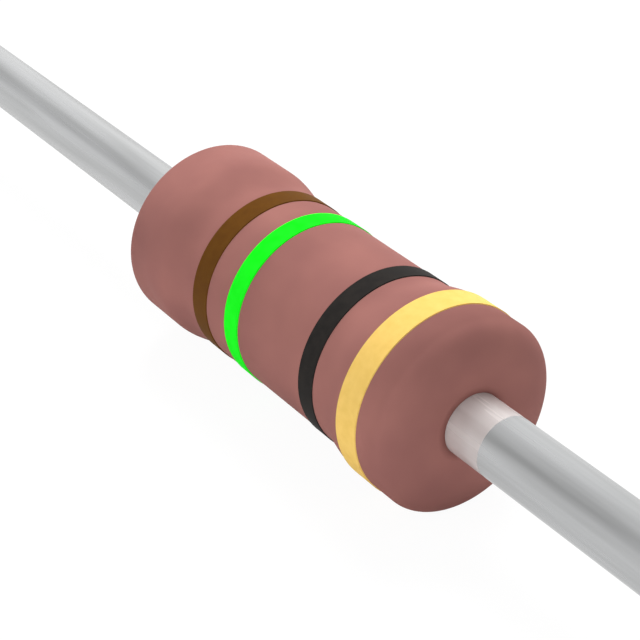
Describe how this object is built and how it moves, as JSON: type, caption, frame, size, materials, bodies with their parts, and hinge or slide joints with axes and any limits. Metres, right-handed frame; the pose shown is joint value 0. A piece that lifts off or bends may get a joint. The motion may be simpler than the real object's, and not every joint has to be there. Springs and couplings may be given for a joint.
{
  "type": "axial resistor",
  "caption": "Axial film resistor with a lacquered dog-bone body, printed colour bands and a straight tinned wire out of each end.",
  "frame": {"origin": "middle of the body, on its axis, halfway between the two cut ends of the wires", "axes": "+X along the axis, out through the end with the gold band; +Y and +Z across it, both alike because every outside surface is turned about X"},
  "size_m": [0.0618, 0.0026, 0.0026],
  "materials": {
    "ceramic": "white fired alumina, ground",
    "metal_film": "thin metal alloy film, matt grey",
    "cap_steel": "tin-plated drawn steel, satin",
    "tinned_wire": "tin-plated drawn copper wire, bright grey with soft lengthwise streaks",
    "lacquer": "dipped flameproof lacquer, pinkish brown, satin",
    "brown_ink": "printed ink, brown, satin",
    "green_ink": "printed ink, bright green, satin",
    "black_ink": "printed ink, black, satin",
    "gold_ink": "printed ink, pale gold, satin"
  },
  "bodies": {
    "root": {"ceramic_rod": "ceramic", "resistive_film": "metal_film", "brown_end_cap": "cap_steel", "gold_end_cap": "cap_steel", "brown_end_lead": "tinned_wire", "gold_end_lead": "tinned_wire", "lacquer_coat": "lacquer", "brown_band": "brown_ink", "green_band": "green_ink", "black_band": "black_ink", "gold_band": "gold_ink"}
  },
  "joints": []
}
